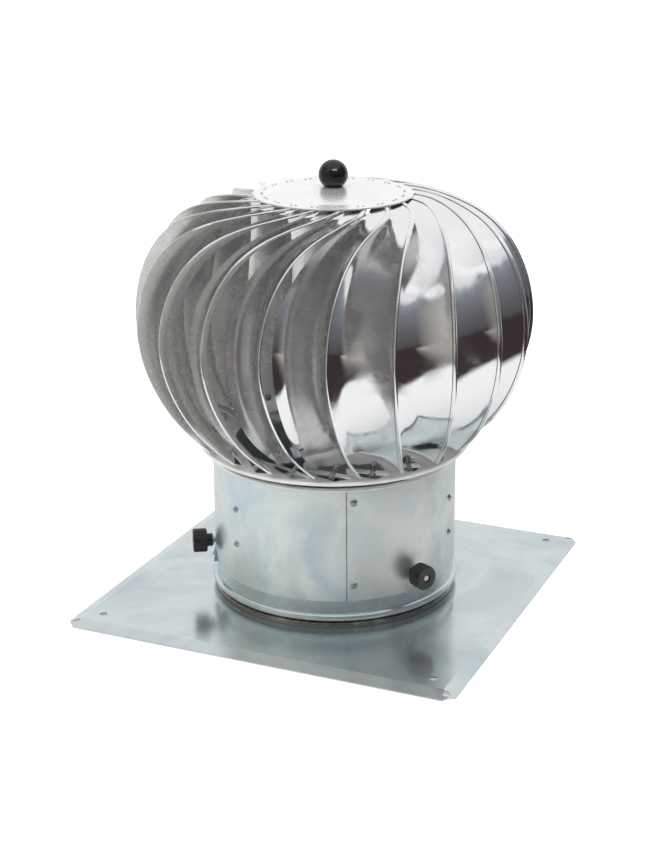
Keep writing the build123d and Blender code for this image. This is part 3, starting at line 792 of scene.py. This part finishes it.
def makeRoom():
    world = bpy.data.worlds.new("studioRoom")
    bpy.context.scene.world = world
    world.use_nodes = True
    tree = world.node_tree
    tree.nodes.clear()
    way = addNode(tree, "TexCoord").outputs["Generated"]
    height = addNode(tree, "SeparateXYZ", {"Vector": way}).outputs["Z"]
    uneven = cloud(tree, way, 1.6, 3.0, 0.6)
    wander = between(tree, uneven, -studio["roomWander"], studio["roomWander"], 0.3, 0.7)
    level = between(tree, combined(tree, "ADD", height, wander), 0.0, 1.0, -1.0, 1.0)
    shade = ramp(tree, level, [((sine + 1) / 2, colour) for sine, colour in studio["room"]])
    toLeft = reachToward(tree, way, studio["leftSide"])
    lower = between(tree, height, *studio["roomLow"])
    leftShare = product(tree, between(tree, toLeft, *studio["roomLeft"]), lower)
    shade = mixColour(tree, leftShare, shade, studio["leftShade"])
    shade = mixColour(tree, windowShare(tree, way), shade, studio["windowShade"])
    openShare = between(tree, reachToward(tree, way, studio["openSide"]), *studio["roomOpen"])
    shade = mixColour(tree, openShare, shade, studio["openShade"])
    room = glow(tree, "Background", shade, 1.0)
    plain = glow(tree, "Background", white, studio["plainLight"])
    backdrop = glow(tree, "Background", white, 1.0)
    rays = addNode(tree, "LightPath")
    unseen = mixShader(tree, rays.outputs["Is Glossy Ray"], plain, room)
    surface = mixShader(tree, rays.outputs["Is Camera Ray"], unseen, backdrop)
    addNode(tree, "OutputWorld", {"Surface": surface})


# lamps that light the whole object and that no metal mirrors
roomLamps = {
    "keyLamp": {"place": (-1.1, -1.5, 1.9), "aim": (0, 0, 0.1), "size": (1.2, 0.8), "power": 22},
    "topLamp": {"place": (0.1, 0.3, 2.2), "aim": (0, 0, 0.2), "size": (1.8, 1.2), "power": 24},
    "sideLamp": {"place": (1.7, -0.7, 1.2), "aim": (0, 0, 0.15), "size": (1.5, 0.26), "power": 7},
}
# two small panes that only the black ball mirrors
ballLamps = {
    "ballWindow": {"place": (0.45, -0.55, 1.05), "aim": (0, 0, 0.34), "size": (0.62, 0.26), "power": 3.0},
    "ballGlint": {"place": (0.38, -0.60, -0.20), "aim": (0, 0, 0.34), "size": (0.30, 0.05), "power": 0.5},
}


def makeLamp(name, values):
    data = bpy.data.lights.new(name, "AREA")
    data.shape = "RECTANGLE"
    data.size, data.size_y = values["size"]
    data.energy = values["power"]
    lamp = bpy.data.objects.new(name, data)
    bpy.context.scene.collection.objects.link(lamp)
    toward = Vector(values["aim"]) - Vector(values["place"])
    lamp.location = values["place"]
    lamp.rotation_euler = toward.to_track_quat("-Z", "Y").to_euler()
    return lamp


def makeLamps():
    for name, values in roomLamps.items():
        makeLamp(name, values).visible_glossy = False
    receivers = bpy.data.collections.new("ballOnly")
    receivers.objects.link(nodes["ball_knob"])
    for name, values in ballLamps.items():
        makeLamp(name, values).light_linking.receiver_collection = receivers


makeFloor()
makeRoom()
makeLamps()
print("studio lit")

bpy.context.view_layer.update()
